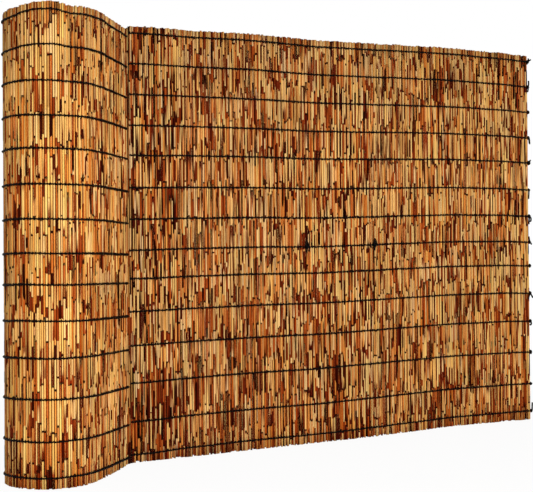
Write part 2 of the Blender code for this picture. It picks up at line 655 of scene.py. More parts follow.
        # A stain starts at one end of its stretch and ends in a slant or a point
        flip = add("Math.GREATER_THAN", reed_rgb[0], 0.5)
        back = add("Math.SUBTRACT", 1.0, share)
        run = add("Mix", flip, {"A": share, "B": back})
        long = add("Math.POWER", part_rgb[1], self.stain_rarity)
        more = add("Math.MULTIPLY_ADD", age, self.aged_stain, 1.0)
        long = add("Math.MULTIPLY", long, more)
        point = add("Math.MULTIPLY", sideways, streak_rgb[0])
        long = add("Math.MULTIPLY_ADD", point, -self.stain_slant, long)
        fade = add("Math.MULTIPLY", long, self.stain_fade)
        stained = add("MapRange", run, long, fade)
        least = add("Math.MULTIPLY_ADD", age, -self.aged_stain, self.unstained)
        most = add("Math.ADD", least, self.faint)
        strength = add("MapRange", part_rgb[2], least, most)
        side = add("Math.SIGN", add("Math.SUBTRACT", streak_rgb[1], 0.5))
        one_side = add("MapRange", add("Math.MULTIPLY", flank, side), *self.half_stain)
        whole = add("Math.GREATER_THAN", streak_rgb[2], 0.5)
        cover = add("Math.MAXIMUM", one_side, whole)
        stain_share = add("Math.MULTIPLY", stained, strength)
        stain_share = add("Math.MULTIPLY", stain_share, cover)
        depth = add("Math.MULTIPLY", part_rgb[0], self.stain_depth)
        depth = add("Math.MULTIPLY_ADD", stained, self.root_depth, depth)
        depth = add("Math.MULTIPLY_ADD", age, self.aged_depth, depth)
        stain = add("ValToRGB", depth, stops=self.stains)
        marked = add("Mix", stain_share, {6: stem, 7: stain}, data_type="RGBA")
        scrap = add("ValToRGB", part_value, stops=self.sheaths)
        clad = add("Mix", sheath, {6: marked, 7: scrap}, data_type="RGBA")

        near = add("Math.MINIMUM", share, back)
        reach = add("MapRange", joint_value, 0.0, 1.0, *self.ring_reach)
        inner = add("Math.MULTIPLY", reach, self.ring_core)
        ring = add("MapRange", near, reach, inner)
        has_ring = add("Math.GREATER_THAN", joint_value, 1 - self.ringed)
        ring_share = add("Math.MULTIPLY", ring, has_ring)
        ring_mix = {6: clad, 7: linear(self.ring_colour)}
        ringed = add("Mix", ring_share, ring_mix, data_type="RGBA")

        fibre_scale = (1 / self.fibre_width, 1 / self.fibre_width, 1 / self.fibre_length)
        fibre_place = add("VectorMath.MULTIPLY", place, fibre_scale)
        fibre = add("TexNoise", fibre_place, {"Scale": 1.0, "Detail": 3.0})
        weather = add("TexNoise", place, {"Scale": self.weather_scale, "Detail": 2.0})
        light = add("MapRange", add("Math.ADD", fibre, weather), *self.wear)
        # Painted light and shade along the mat, with a painted shadow in the fold
        light = add("Math.MULTIPLY", light, bleach)
        tip = add("MapRange", level, *self.tip_heights, 1.0, self.tip_light)
        light = add("Math.MULTIPLY", light, tip)
        shaded = add("VectorMath.SCALE", ringed, {"Scale": light})

        # Painted shade between the stems, with some dirt: a stem is darkened where it faces its
        # neighbours, more on aged reeds
        edges = (add("Math.MULTIPLY_ADD", age, self.aged_groove, edge) for edge in self.groove)
        groove_shade_and_dirt = add("MapRange", sideways, *edges, interpolation_type="SMOOTHSTEP")
        packed = add("MapRange", reed_rgb[1], 0.0, 1.0, self.least_groove_shade)
        packed = add("Math.MAXIMUM", packed, age)
        groove_shade_and_dirt = add("Math.MULTIPLY", groove_shade_and_dirt, packed)
        groove_darkened = add("VectorMath.MULTIPLY", shaded, self.groove_shade_and_dirt_tint)
        shaded = add("Mix", groove_shade_and_dirt, {6: shaded, 7: groove_darkened}, data_type="RGBA")

        end_mix = {6: shaded, 7: linear(self.cut_colour)}
        finished = add("Mix", add("Math.ABSOLUTE", rim), end_mix, data_type="RGBA")
        ridge = add("MapRange", near, self.ridge_reach, 0.0)
        relief = add("Math.MULTIPLY_ADD", ridge, self.ridge_height, fibre)
        form = {"Strength": self.bump, "Distance": self.relief, "Height": relief}
        sources = {
            "Base Color": finished,
            "Normal": add("Bump", form),
            "Roughness": self.roughness,
            "Specular IOR Level": self.specular,
        }
        feed(look.node_tree, look.node_tree.nodes["Principled BSDF"], sources)
        return look


@dataclass(frozen=True)
class CoatedWire:
    """Thin annealed steel wire with a black coat, drawn soft enough to twist by hand.

    The coat is slightly uneven, with a dull sheen.
    """

    thin_coat: str = "#040302"
    thick_coat: str = "#080605"
    grain_scale: float = 400.0  # spots of about 2.5 mm, coarser than the real ones, to show
    bump: float = 0.2
    relief: float = 0.0002
    roughness: float = 0.45
    specular: float = 0.03

    def material(self) -> Material:
        """Builds the material.

        Returns:
            The material of all the wire.
        """
        look, add = new_material("black_coated_tying_wire")
        place = add("TexCoord").outputs["Object"]
        grain = add("TexNoise", place, {"Scale": self.grain_scale, "Detail": 2.0})
        stops = ((0.3, self.thin_coat), (0.7, self.thick_coat))
        form = {"Strength": self.bump, "Distance": self.relief, "Height": grain}
        sources = {
            "Base Color": add("ValToRGB", grain, stops=stops),
            "Normal": add("Bump", form),
            "Roughness": self.roughness,
            "Specular IOR Level": self.specular,
        }
        feed(look.node_tree, look.node_tree.nodes["Principled BSDF"], sources)
        return look


@dataclass
class ReedBlank:
    """One reed of unit radius, before it gets its own thickness, joints and ends.

    Its points carry what the node tree needs to stretch it: the joint that a ring
    belongs to, its course up the reed, and the share of the way up a sheath.
    """

    sides: int = 6
    joints: int = 12
    bore: float = 0.55
    bore_depth: float = 0.005
    sheathed: bool = True
    coat: float = 0.0006
    map_share: float = 0.48  # width of the stem or its sheaths on the reed's share of the map

    def stem_rings(self) -> list[dict]:
        """Rings of the stem from the middle of the bottom bore to that of the top.

        Returns:
            One dictionary of attributes for each ring. A radius of 0 is a single point.
        """
        low = {"joint": -0.5, "course": 0.5}
        high = {"joint": self.joints + 1.5, "course": self.joints + 0.5}
        bores = ((0.0, 1, 1.0), (self.bore, 1, 0.8), (self.bore, 0, 0.5), (1.0, 0, 0.0))
        cuts = [
            {"radius": radius, "recess": self.bore_depth * sunk, "rim": rim}
            for radius, sunk, rim in bores
        ]
        knots = [
            {"radius": 1.0, "joint": joint, "course": float(joint), "loose": 1.0}
            for joint in range(1, self.joints + 1)
        ]
        bottoms = [low | cut | {"rim": -cut["rim"]} for cut in cuts]
        tops = [high | cut | {"recess": -cut["recess"]} for cut in cuts]
        return bottoms + knots + tops[::-1]

    def sheath_rings(self, joint: int) -> list[dict]:
        """Rings of the sheath that grows from a joint, up to its torn edge.

        Args:
            joint: The joint's number, from the foot up.

        Returns:
            One dictionary of attributes for each ring.
        """
        steps = ((0.0, 0.3), (0.08, 1.0), (1.0, 0.7), (1.0, -0.2))
        shared = {"radius": 1.0, "joint": joint, "course": joint + 0.5, "loose": 1.0, "sheath": 1.0}
        return [
            shared | {"climb": climb, "coat": self.coat * thick, "torn": float(climb == 1.0)}
            for climb, thick in steps
        ]

    def build(self) -> Object:
        """Makes the blank.

        Returns:
            An object whose points and face corners carry the attributes.
        """
        names = "joint course loose recess rim sheath climb coat torn".split()
        points, faces, arounds = [], [], []
        marks = {name: [] for name in names}
        tubes = [(self.stem_rings(), 0.0)]
        if self.sheathed:
            tubes += [(self.sheath_rings(joint), 0.5) for joint in range(1, self.joints + 1)]
        for rings, column in tubes:
            starts = []
            for ring in rings:
                radius = ring["radius"]
                count = self.sides if radius else 1
                starts.append((len(points), count))
                for side in range(count):
                    angle = FULL_TURN * side / self.sides
                    points.append((radius * math.cos(angle), radius * math.sin(angle), 0.0))
                    for name in names:
                        marks[name].append(ring.get(name, 0.0))
            for (low, low_count), (high, high_count) in zip(starts, starts[1:]):
                for side in range(self.sides):
                    after = (side + 1) % self.sides
                    here, there = (
                        column + self.map_share * turn / self.sides for turn in (side, side + 1)
                    )
                    if low_count == 1:
                        faces.append((low, high + after, high + side))
                        arounds += [here, there, here]
                    elif high_count == 1:
                        faces.append((low + side, low + after, high))
                        arounds += [here, there, here]
                    else:
                        faces.append((low + side, low + after, high + after, high + side))
                        arounds += [here, there, there, here]
        mesh = bpy.data.meshes.new("reed_blank")
        mesh.from_pydata(points, [], faces)
        mesh.polygons.foreach_set("use_smooth", [True] * len(faces))
        blank = put("reed_blank", mesh)
        hold(blank, **marks)
        hold(blank, "CORNER", around=arounds)
        return blank


@dataclass
class Reeds:
    """The reeds of the mat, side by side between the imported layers' own ends."""

    path: MatPath
    line: Object
    finish: Material
    mean_width: float = 0.0064
    width_spread: float = 0.45
    plumpness: float = 1.12
    stagger: float = 0.0012  # how far forwards or back each reed lies from its neighbours
    taper: float = 0.1
    joint_spread: float = 0.62
    ragged_top: float = 0.0022
    ragged_bottom: float = 0.006
    short_rarity: float = 3.0  # above 1, few reeds end well above the floor
    settle: float = 0.002  # the feet stay on the floor until the mat is lifted by this
    wander: float = 0.004
    wander_scale: float = 2.4
    jitter: float = 0.0009
    jitter_scale: Point = (7.3, 3.0, 1.0)  # from reed to reed, up the reed, and a constant
    shortest_sheath: float = 0.018
    longest_sheath: float = 0.12
    sheath_share: float = 0.27
    tear: float = 0.22  # depth of a sheath's torn edge, as a share of the sheath
    map_foot: float = 0.04  # where a reed's foot is on the map
    map_height: float = 0.92
    map_end: float = 0.025  # height of its cut end there
    # Distance, the painted light and shade on the reeds there, darkest where a painted shadow lies
    # in the fold, and how aged: the open panel has weathered
    painted_light_and_age: tuple[Point, ...] = (
        (0.00, 0.99, 0.60),
        (0.40, 0.95, 0.65),
        (1.00, 0.92, 0.85),
        (1.62, 0.90, 0.95),
        (1.74, 0.85, 1.30),
        (1.825, 0.82, 1.40),
        (1.835, 0.55, 1.20),
        (1.843, 0.55, 0.60),
        (1.850, 0.98, 0.50),
        (2.20, 1.00, 0.35),
        (2.26, 1.00, 0.10),
        (2.38, 1.03, -0.10),
        (2.48, 1.10, -0.20),
        (2.60, 1.15, -0.20),
        (3.20, 0.90, 0.30),
    )
    reeds_in_piece: int = 62
    seed: int = 11
    tear_scale: float = 31.0  # sets the points of a torn edge apart in the noise
    spin: float = 60.0  # most that a reed is turned about itself, in radians

    def stretches(self) -> list[tuple[str, float, float]]:
        """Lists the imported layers.

        Returns:
            Their nodes with the distances where they begin and end.
        """
        ends = [("reed_panel", self.path.panel_length), ("reed_lead", self.path.roll_start)]
        ends += [(f"reed_turn_{turn}", self.path.turn_end(turn)) for turn in (1, 2, 3)]
        ends.append(("reed_turn_4", self.path.length))
        starts = [0.0] + [end for _, end in ends]
        return [(name, start, end) for (name, end), start in zip(ends, starts)]

    def gaps(self) -> dict[str, np.ndarray]:
        """Lines between neighbouring reeds.

        Returns:
            For each packed layer, the distances from its first gap to its last.
        """
        chance = random.Random(self.seed)
        lines = {}
        for name, start, end in self.stretches():
            spreads = (
                chance.random() + chance.random() - 1
                for _ in range(round((end - start) / self.mean_width))
            )
            sums = np.cumsum([0.0] + [1 + self.width_spread * spread for spread in spreads])
            lines[name] = start + (end - start) * sums / sums[-1]
        return lines

    def sizes(self) -> dict:
        """Sets the sizes that every piece has.

        Returns:
            Inputs of the node tree by name.
        """
        fields = (
            "plumpness stagger taper joint_spread ragged_top ragged_bottom settle wander jitter "
            "shortest_sheath longest_sheath sheath_share"
        )
        return {
            "Path": self.line,
            "Lead": self.path.lead,
            "Height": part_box("reed_panel")[1].z,
            "Seed": float(self.seed),
            "Material": self.finish,
            **titled(self, fields),
        }

    def tree(self) -> NodeTree:
        """Node tree that stands a reed at each distance along the mat.

        Returns:
            The tree. Its geometry is one point for each reed, with its distance, width,
            number and column.
        """
        own_sizes = {"Blank": None, "Joints": 0.0, "Columns": 0.0}
        tree, size, add = new_tree("stand_reeds", own_sizes | self.sizes())
        number, width, joint, loose = (
            add(NAMED, name) for name in ("number", "width", "joint", "loose")
        )
        spot, front, lifts = along_path(add, size)
        tangent = shown(spot.outputs, "Tangent")
        sway = add("Math.SUBTRACT", add("Math.MODULO", number, 2.0), 0.5)
        stagger = add("Math.MULTIPLY", sway, size["Stagger"])
        aside = add("VectorMath.SCALE", front, {"Scale": stagger})
        place = add("VectorMath.ADD", shown(spot.outputs, "Position"), aside)
        points = size["Geometry"]
        for name, value in (("place", place), ("ahead", tangent), ("front", front)):
            mark = {"Name": name, "Value": value}
            points = add(STORE, points, mark, data_type="FLOAT_VECTOR")
        for name, value in (("foot", lifts.outputs[0]), ("crest", lifts.outputs[2])):
            points = add(STORE, points, {"Name": name, "Value": value})
        blank = add("GeometryNodeObjectInfo", size["Blank"])
        stood = add("GeometryNodeInstanceOnPoints", points, {"Instance": blank.outputs["Geometry"]})
        real = add("GeometryNodeRealizeInstances", stood)

        by_reed = add("TexWhiteNoise", add("CombineXYZ", number, size["Seed"], 1.0))
        reed_xyz = add("SeparateXYZ", by_reed.outputs["Color"]).outputs
        joint_cell = add("CombineXYZ", number, joint, size["Seed"])
        by_joint = add("TexWhiteNoise", joint_cell)
        joint_xyz = add("SeparateXYZ", by_joint.outputs["Color"]).outputs

        # Height of a ring: its joint's place up the reed and its way up a sheath
        moved = add("Math.SUBTRACT", by_joint.outputs["Value"], 0.5)
        eased = add("Math.MULTIPLY", moved, size["Joint Spread"])
        shift = add("Math.MULTIPLY", eased, loose)
        rank = add("Math.SUBTRACT", add("Math.ADD", joint, shift), 0.5)
        share = add("Math.DIVIDE", rank, size["Joints"])
        level = add("Math.MULTIPLY", share, size["Height"])
        way = add("Math.SIGN", add("Math.SUBTRACT", reed_xyz[0], 0.5))
        sheath_sizes = size["Shortest Sheath"], size["Longest Sheath"]
        reach = add("MapRange", joint_xyz[1], 0.0, 1.0, *sheath_sizes)
        climb, torn, coat, recess, rim, lifted, crest = (
            add(NAMED, name) for name in ("climb", "torn", "coat", "recess", "rim", "foot", "crest")
        )
        spots = add("GeometryNodeInputPosition")
        corner = add("VectorMath.SCALE", spots, {"Scale": self.tear_scale})
        corner = add("VectorMath.ADD", corner, joint_cell)
        tear = add("TexWhiteNoise", corner)
        tear = add("Math.MULTIPLY", tear.outputs["Value"], torn)
        ragged = add("Math.MULTIPLY_ADD", tear, -self.tear, climb)
        rise = add("Math.MULTIPLY", reach, ragged)
        level = add("Math.MULTIPLY_ADD", rise, way, level)
        top = add("Math.ADD", size["Height"], crest)
        uneven = add("Math.SUBTRACT", reed_xyz[1], 0.5)
        uneven = add("Math.MULTIPLY", uneven, 2.0)
        top = add("Math.MULTIPLY_ADD", uneven, size["Ragged Top"], top)
        short = add("Math.POWER", reed_xyz[2], self.short_rarity)
        raised = add("Math.SUBTRACT", lifted, size["Settle"])
        raised = add("Math.MAXIMUM", raised, 0.0)
        foot = add("Math.MULTIPLY_ADD", short, size["Ragged Bottom"], raised)
        level = add("Math.MAXIMUM", level, foot)
        level = add("Math.MINIMUM", level, top)
        level = add("Math.ADD", level, recess)

        # Radius of a ring, with the taper and a sheath's thickness
        half = add("Math.MULTIPLY", width, 0.5)
        plump = add("Math.MULTIPLY", half, size["Plumpness"])
        middle = add("Math.SUBTRACT", share, 0.5)
        lean = add("Math.MULTIPLY", middle, way)
        slim = add("Math.MULTIPLY", lean, size["Taper"])
        slim = add("Math.SUBTRACT", 1.0, slim)
        radius = add("Math.MULTIPLY_ADD", plump, slim, coat)
        spin = add("Math.MULTIPLY", reed_xyz[1], self.spin)
        turned = add("VectorRotate", spots, {"Angle": spin}, rotation_type="Z_AXIS")
        section = add("VectorMath.SCALE", turned, {"Scale": radius})
        ahead = add(NAMED, "ahead", data_type="FLOAT_VECTOR")
        beside = add("VectorMath.DOT_PRODUCT", turned, ahead)
        marked = add(STORE, real, {"Name": "flank", "Value": shown(beside.outputs, "Value")})

        # The mat wanders as a whole, and each reed bends a little by itself
        sheet = add("CombineXYZ", add(NAMED, "distance"), level, size["Seed"])
        drift = add("TexNoise", sheet, {"Scale": self.wander_scale, "Detail": 1.0})
        own = add("CombineXYZ", number, level, 5.0)
        own = add("VectorMath.MULTIPLY", own, self.jitter_scale)
        bend = add("TexNoise", own, {"Scale": 1.0, "Detail": 1.0})
        centred = []
        for noise, amount in ((drift, "Wander"), (bend, "Jitter")):
            even = add("VectorMath.SUBTRACT", noise.outputs["Color"], (0.5, 0.5, 0.5))
            centred.append(add("VectorMath.SCALE", even, {"Scale": size[amount]}))
        stray = add("SeparateXYZ", add("VectorMath.ADD", *centred)).outputs
        facing = add(NAMED, "front", data_type="FLOAT_VECTOR")
        stray_ahead = add("VectorMath.SCALE", ahead, {"Scale": stray[0]})
        stray_front = add("VectorMath.SCALE", facing, {"Scale": stray[1]})
        up = add("CombineXYZ", {2: level})
        total = add(NAMED, "place", data_type="FLOAT_VECTOR")
        for part in (section, stray_ahead, stray_front, up):
            total = add("VectorMath.ADD", total, part)
        shaped = add("GeometryNodeSetPosition", marked, {"Position": total})

        # Sheaths that this reed has lost
        lost = add("Math.GREATER_THAN", joint_xyz[2], size["Sheath Share"])
        gone = add("Math.MULTIPLY", lost, add(NAMED, "sheath"))
        kept = add("GeometryNodeDeleteGeometry", shaped, {"Selection": gone})

        # One column of the piece's map for each reed
        across = add("Math.ADD", add(NAMED, "column"), add(NAMED, "around"))
        across = add("Math.DIVIDE", across, size["Columns"])
        high = add("SeparateXYZ", add("GeometryNodeInputPosition"))
        high = add("Math.DIVIDE", high.outputs[2], size["Height"])
        high = add("Math.MULTIPLY_ADD", high, self.map_height, self.map_foot)
        high = add("Math.MULTIPLY_ADD", rim, self.map_end, high)
        spread = {"Name": BAKE_MAP, "Value": add("CombineXYZ", across, high)}
        mapped = add(STORE, kept, spread, data_type="FLOAT2", domain="CORNER")
        dressed = add("GeometryNodeSetMaterial", mapped, {"Material": size["Material"]})
        add("NodeGroupOutput", dressed)
        return tree

    def build(self) -> list[Object]:
        """Stands the reeds.

        Returns:
            Pieces that each replace part of a packed layer.
        """
        tree = self.tree()
        shared = self.sizes()
        blanks = {True: ReedBlank(), False: ReedBlank(sides=5, joints=3, sheathed=False)}
        built = {seen: blank.build() for seen, blank in blanks.items()}
        scratch = (
            "joint loose recess climb coat torn around place ahead front foot crest distance "
            "width column"
        )
        knots, bleach, age = np.array(self.painted_light_and_age).T
        pieces = []
        number = 0
        for node, gaps in self.gaps().items():
            seen = node in ("reed_panel", "reed_lead", "reed_turn_1")
            count = len(gaps) - 1
            parts = math.ceil(count / self.reeds_in_piece)
            for part in range(parts):
                first, last = count * part // parts, count * (part + 1) // parts
                lows, highs = gaps[first:last], gaps[first + 1 : last + 1]
                middles = (lows + highs) / 2
                columns = np.arange(last - first)
                start = line_mesh(f"{node}_reeds_{part + 1}", [[(0.0, 0.0, 0.0)]] * len(columns))
                hold(start, distance=middles, width=highs - lows)
                # Painted light and shade for each reed, from where it stands along the mat
                hold(start, bleach=np.interp(middles, knots, bleach))
                hold(start, age=np.interp(middles, knots, age))
                hold(start, number=number + columns, column=columns)
                number += len(columns)
                own_sizes = {
                    "Blank": built[seen],
                    "Joints": float(blanks[seen].joints),
                    "Columns": float(len(columns)),
                }
                piece = grow(start, tree, shared | own_sizes, scratch)
                pieces.append(declare(piece, [node]))
        for blank in built.values():
            bpy.data.objects.remove(blank)
        return pieces


class RowSet(Enum):
    """Rows that cross at the same gaps, counted from the bottom."""

    ODD = 0
    EVEN = 1


@dataclass
class BindingWires:
    """The rows of wire: two strands that cross between the reeds, two reeds at a time."""

    path: MatPath
    line: Object
    finish: Material
    gaps: dict[str, np.ndarray]
    rows: list[str]
    # Thicker than the real wire: the dark tube also stands in for the shade along its row
    radius: float = 0.0027
    stand: float = 0.0066
    groove: float = 0.003
    unevenness: float = 0.003
    waver_scale: float = 9.0  # rises and falls of the wire in a metre, about
    row_scale: float = 5.3  # sets the rows apart in the noise
    sides: int = 5
    hidden_sides: int = 4
    shares: tuple[float, ...] = (0.0, 0.12, 0.3, 0.7, 0.88)  # points between two crossings
    hidden_shares: tuple[float, ...] = (0.0, 0.35, 0.65)
    crossing_reach: float = 0.3  # share of the way between two crossings
    crossing_power: float = 1.5
    overlap: float = 0.008  # how far beyond a span its crossings are looked for
    tolerance: float = 0.001
    tucked: Pair = (1.834, 1.853)  # distances where the fold hides the wires
    seen_turns: float = 1.05
    seed: float = 3.0

    def sizes(self) -> dict:
        """Sets the sizes that every piece has.

        Returns:
            Inputs of the node tree by name.
        """
        bands = ("Foot Full", "Foot End", "Top Start", "Top Full")
        return {
            "Path": self.line,
            "Lead": self.path.lead,
            "Material": self.finish,
            **titled(self, "radius stand groove unevenness"),
            **dict(zip(bands, self.path.foot_band + self.path.top_band)),
        }

    def tree(self) -> NodeTree:
        """Node tree that lays two strands for each row along the mat.

        Returns:
            The tree. Its geometry is one line of points, with their distance along the
            mat, their swing from front to back and how near they are to a crossing.
        """
        own_sizes = {"Rows": None, "Row Count": 0, "Sides": self.sides, "Seed": self.seed}
        tree, size, add = new_tree("lay_wires", own_sizes | self.sizes())
        strands = add("Math.MULTIPLY", size["Row Count"], 2.0)
        thread = add("GeometryNodeMeshToCurve", size["Geometry"])
        copies = add("GeometryNodeDuplicateElements", thread, {"Amount": strands}, domain="SPLINE")
        copy = copies.outputs["Duplicate Index"]
        row = add("Math.FLOOR", add("Math.DIVIDE", copy, 2.0))
        second = add("Math.MODULO", copy, 2.0)
        sign = add("Math.MULTIPLY_ADD", second, -2.0, 1.0)
        rows = add("GeometryNodeObjectInfo", size["Rows"]).outputs["Geometry"]
        sample = {"Value": add("GeometryNodeInputPosition"), "Index": row}
        height = add("GeometryNodeSampleIndex", rows, sample, data_type="FLOAT_VECTOR")
        spot, front, lifts = along_path(add, size)
        level = add("SeparateXYZ", height).outputs[2]
        drift = lifts.outputs[1]
        for axis, none, full in ((0, "Foot End", "Foot Full"), (2, "Top Start", "Top Full")):
            share = add("MapRange", level, size[none], size[full])
            drift = add("Mix", share, {"A": drift, "B": lifts.outputs[axis]})
        swing, cross = (add(NAMED, name) for name in ("swing", "cross"))
        out = add("Math.MULTIPLY", swing, sign)
        out = add("Math.MULTIPLY", out, size["Stand"])
        out = add("Math.MULTIPLY_ADD", cross, size["Groove"], out)
        aside = add("VectorMath.SCALE", front, {"Scale": out})
        apart = add("Math.MULTIPLY", cross, sign)
        apart = add("Math.MULTIPLY", apart, size["Radius"])
        own = add("CombineXYZ", add(NAMED, "distance"), row, size["Seed"])
        own = add("VectorMath.MULTIPLY", own, (1.0, self.row_scale, 1.0))
        waver = add("TexNoise", own, {"Scale": self.waver_scale, "Detail": 2.0})
        waver = add("Math.SUBTRACT", waver, 0.5)
        lift = add("Math.MULTIPLY_ADD", waver, size["Unevenness"], apart)
        up = add("CombineXYZ", {2: add("Math.ADD", lift, drift)})
        total = shown(spot.outputs, "Position")
        for part in (aside, up, height):
            total = add("VectorMath.ADD", total, part)
        laid = add("GeometryNodeSetPosition", copies.outputs["Geometry"], {"Position": total})
        laid = add(STORE, laid, {"Name": "strand", "Value": copy})
        draw_wire(add, size, laid, strands)
        return tree

    def thread(self, name: str, start: float, end: float, rows: RowSet, seen: bool) -> Object:
        """Line of points for one strand between two distances.

        Args:
            name: The object's name.
            start: Distance where it begins.
            end: Distance where it ends.
            rows: The rows that it is for, which sets the gaps where it crosses.
            seen: Whether it is seen, and so gets more points.

        Returns:
            The line, whose points hold distance, swing and cross.
        """
        every = np.unique(np.round(np.concatenate(list(self.gaps.values())), 6))
        crossings = np.unique(np.concatenate([every[:1], every[rows.value :: 2], every[-1:]]))
        low, high = start - self.overlap, end + self.overlap
        crossings = crossings[(crossings >= low) & (crossings <= high)]
        points = []
        side = 1.0 if (np.searchsorted(every, crossings[0]) // 2) % 2 else -1.0
        for low, high in zip(crossings, crossings[1:]):
            for share in self.shares if seen else self.hidden_shares:
                near = max(1 - min(share, 1 - share) / self.crossing_reach, 0.0)
                cross = near**self.crossing_power
                distance = low + (high - low) * share
                swing = side * (1 - cross) if share else 0.0
                if self.tucked[0] < distance < self.tucked[1]:
                    swing = cross = 0.0
                if start - self.tolerance <= distance <= end + self.tolerance:
                    points.append((distance, swing, cross))
            side = -side
        distances, swings, crosses = zip(*points)
        line = line_mesh(name, [[(distance, 0.0, 0.0) for distance in distances]])
        hold(line, distance=distances, swing=swings, cross=crosses)
        return line

    def build(self) -> list[Object]:
        """Lays the rows.

        Returns:
            Pieces for the odd rows and for the even ones, which cross at other gaps.
        """
        tree = self.tree()
        shared = self.sizes()
        heights = wire_heights(self.rows)
        fold_end, seen_end = self.path.run_start, self.path.turn_end(self.seen_turns)
        spans = (
            ("panel", 0.0, fold_end, True),
            ("roll", fold_end, seen_end, True),
            ("inner_turns", seen_end, self.path.length, False),
        )
        pieces = []
        for span, start, end, seen in spans:
            for rows in RowSet:
                chosen = heights[rows.value :: 2]
                levels = line_mesh("row_heights", [[(0.0, 0.0, z)] for z in chosen])
                name = f"wires_{span}_{rows.name.lower()}_rows"
                line = self.thread(name, start, end, rows, seen)
                own_sizes = {
                    "Rows": levels,
                    "Row Count": len(chosen),
                    "Sides": self.sides if seen else self.hidden_sides,
                    "Seed": self.seed + rows.value,
                }
                scratch = "distance swing cross run strand around"
                piece = grow(line, tree, shared | own_sizes, scratch)
                bpy.data.objects.remove(levels)
                pieces.append(declare(piece, self.rows[rows.value :: 2]))
        return pieces


@dataclass(frozen=True)
class TailForm:
    """Knot and cut tails at one end of a row, in millimetres outwards and up."""

    turns: float
    girth: float
    tails: tuple[tuple[Pair, ...], ...] = ()


class WireEnd(Enum):
    """Ways in which a row of wire is tied off."""

    PLAIN = TailForm(1.2, 2.3)
    KNOTTED = TailForm(2.2, 3.2)
    BALLED = TailForm(3.6, 4.6, (((2, 3), (5, 8), (9, 11)),))
    WEDGED = TailForm(2.0, 3.6, (((0, -2), (0, -9)),))
    SPLAYED = TailForm(
        2.2, 3.4, (((0, 2), (3, 8), (2, 14)), ((2, 2), (8, 6), (14, 9)), ((-2, -2), (-6, -11)))
    )
    UPRIGHT = TailForm(2.0, 3.2, (((1, 2), (3, 12), (2, 26)), ((0, -2), (-1, -10), (-4, -21))))
    HANGING = TailForm(2.0, 3.0, (((2, 0), (4, -8), (5, -26)), ((0, -1), (1, -10), (2, -22))))
    TRAILING = TailForm(1.2, 2.4, (((-1, -2), (-2, -14), (-4, -37)),))
    LOOPED = TailForm(
        2.2, 3.2, (((0, -2), (-2, -16), (-4, -33)), ((2, -2), (7, -9), (6, -18), (2, -22)))
    )
    RAISED = TailForm(2.2, 3.2, (((0, 2), (-2, 10), (-5, 23)), ((2, -2), (6, -6), (9, -9))))
    FORKED = TailForm(2.4, 3.6, (((-1, -2), (-6, -10), (-11, -24)), ((1, -2), (6, -9), (12, -19))))
    CURLED = TailForm(2.2, 3.2, (((2, -2), (4, -9), (0, -16), (-4, -13)),))
    HOOKED = TailForm(1.6, 2.6, (((0, 0), (3, 2), (3, 14), (4, 34)),))
    SPLICED = TailForm(
        2.6,
        4.4,
        (
            ((-5, 0), (-4, 12), (-1, 25)),
            ((5, 0), (4, 10), (-1, 21)),
            ((0, -2), (-2, -10), (-3, -21)),
        ),
    )


@dataclass(frozen=True)
class Tie:
    """Where and how a row of wire is tied off."""

    end: WireEnd
    distance: float
    height: float
    outwards: float  # 1 if the tails point onwards along the mat, -1 if they point back
    front: float  # how far the knot stands in front of the middle of the mat


